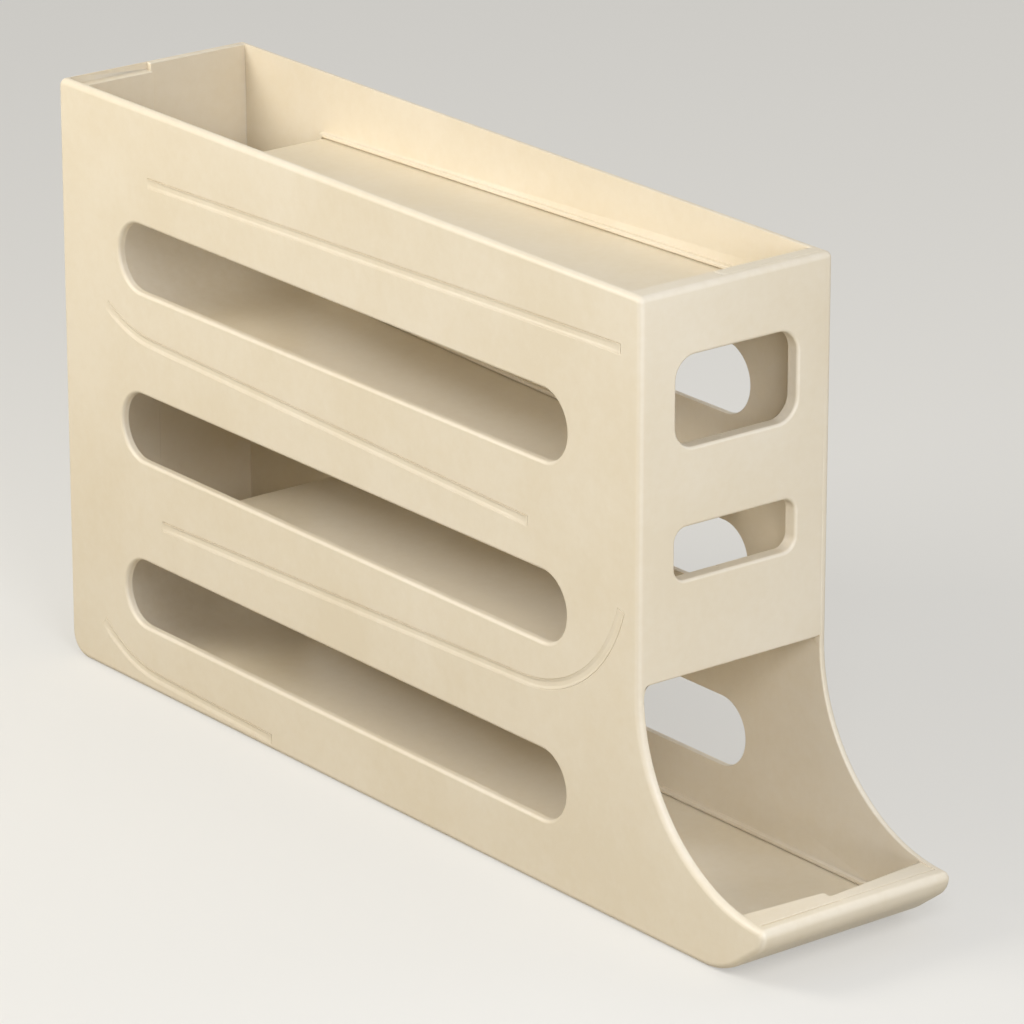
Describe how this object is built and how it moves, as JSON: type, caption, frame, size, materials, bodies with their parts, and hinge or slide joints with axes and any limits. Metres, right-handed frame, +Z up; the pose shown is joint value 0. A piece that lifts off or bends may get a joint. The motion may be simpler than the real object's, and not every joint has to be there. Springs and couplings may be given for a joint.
{
  "type": "rolling egg holder",
  "caption": "Narrow upright egg holder with an open top, stacked sloping ramps inside that roll eggs down to a front tray, long side slots and front windows.",
  "frame": {"origin": "on the ground, at the middle of the overall length and width", "axes": "+X to the right seen from the front, +Y from the tray in front to the back wall, +Z up"},
  "size_m": [0.08, 0.385, 0.2155],
  "materials": {
    "shell_plastic": "moulded, fine satin",
    "ramp_plastic": "moulded, smooth"
  },
  "bodies": {
    "root": {"main_shell": "shell_plastic", "side_cover": "shell_plastic", "top_ramp": "ramp_plastic", "second_ramp": "ramp_plastic", "third_ramp": "ramp_plastic", "bottom_ramp": "ramp_plastic"}
  },
  "joints": []
}
